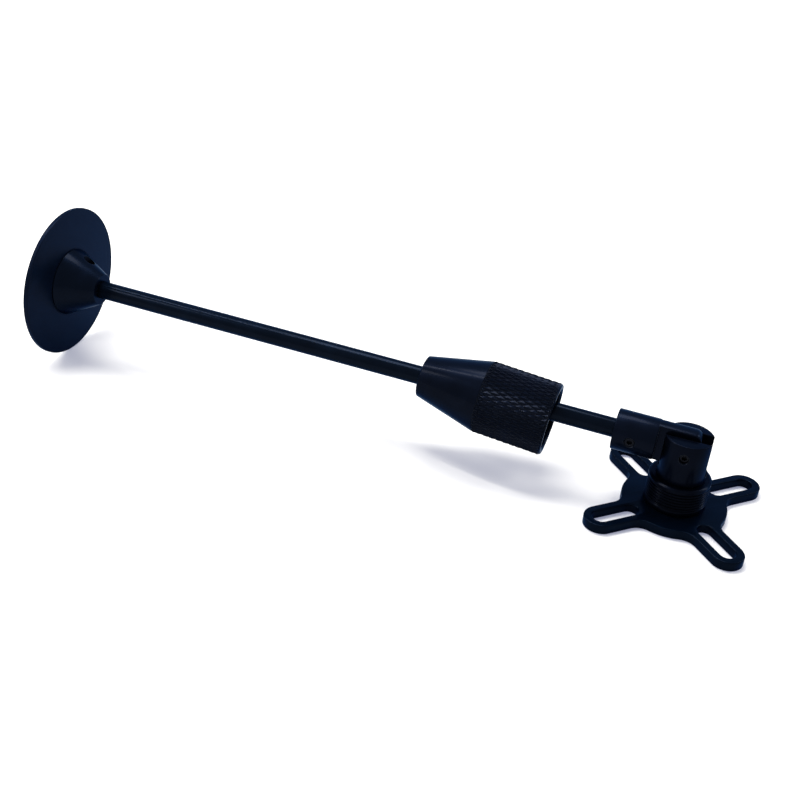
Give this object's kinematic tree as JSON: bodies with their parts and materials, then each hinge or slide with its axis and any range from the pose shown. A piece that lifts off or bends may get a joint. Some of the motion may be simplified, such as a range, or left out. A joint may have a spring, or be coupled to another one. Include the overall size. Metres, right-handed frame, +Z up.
{
  "type": "airbrush holder stand",
  "caption": "Folding rod stand: a slotted cross foot with a forked post, a tilting rod with a round end plate, and a knurled sleeve that slides along the rod.",
  "frame": {"origin": "centre of the cross foot's underside, on the surface it stands on, below the post's axis", "axes": "+Z up along the post, X and Y along the foot's arms; the rod points to 136 degrees from +X, and its end plate's rim rests on the same surface"},
  "size_m": [0.2032, 0.1986, 0.0508],
  "materials": {
    "foot_black": "black anodised, satin",
    "collar_black": "black anodised, satin",
    "post_black": "black anodised, satin",
    "block_black": "black anodised, satin",
    "sleeve_black": "black anodised, satin, knurled",
    "hub_black": "black anodised, satin",
    "plate_black": "black anodised, satin",
    "rod_black": "blackened, satin",
    "screw_black": "blackened",
    "steel_dark": "blackened",
    "washer_dark": "blackened",
    "ring_rubber": "matt"
  },
  "bodies": {
    "foot": {"cross_foot": "foot_black", "threaded_collar": "collar_black"},
    "post": {"fork_post": "post_black", "swivel_washer": "steel_dark", "swivel_screw": "steel_dark", "pivot_screw": "screw_black", "near_washer": "washer_dark", "far_washer": "washer_dark"},
    "arm": {"tongue_block": "block_black", "block_set_screw": "screw_black", "rod": "rod_black", "end_hub": "hub_black", "hub_set_screw": "screw_black", "end_plate": "plate_black", "plate_screw": "steel_dark"},
    "ring": {"nose_ring": "ring_rubber"},
    "sleeve": {"locking_sleeve": "sleeve_black"}
  },
  "joints": [
    {"name": "post_swivel", "type": "hinge", "parent": "foot", "child": "post", "pos_m": [0, 0, 0.0126], "axis": [0, 0, 1], "continuous": true},
    {"name": "arm_tilt", "type": "hinge", "parent": "post", "child": "arm", "pos_m": [0, 0, 0.0224], "axis": [0.6947, 0.7193, 0], "range_deg": [0, 178.4]},
    {"name": "sleeve_slide", "type": "slide", "parent": "arm", "child": "ring", "axis": [0.7193, -0.6946, -0.0142], "range_m": [-0.1155, 0.018]},
    {"name": "sleeve_spin", "type": "hinge", "parent": "ring", "child": "sleeve", "pos_m": [-0.05927, 0.05723, 0.02357], "axis": [-0.7164, 0.6918, 0.0902], "continuous": true}
  ]
}
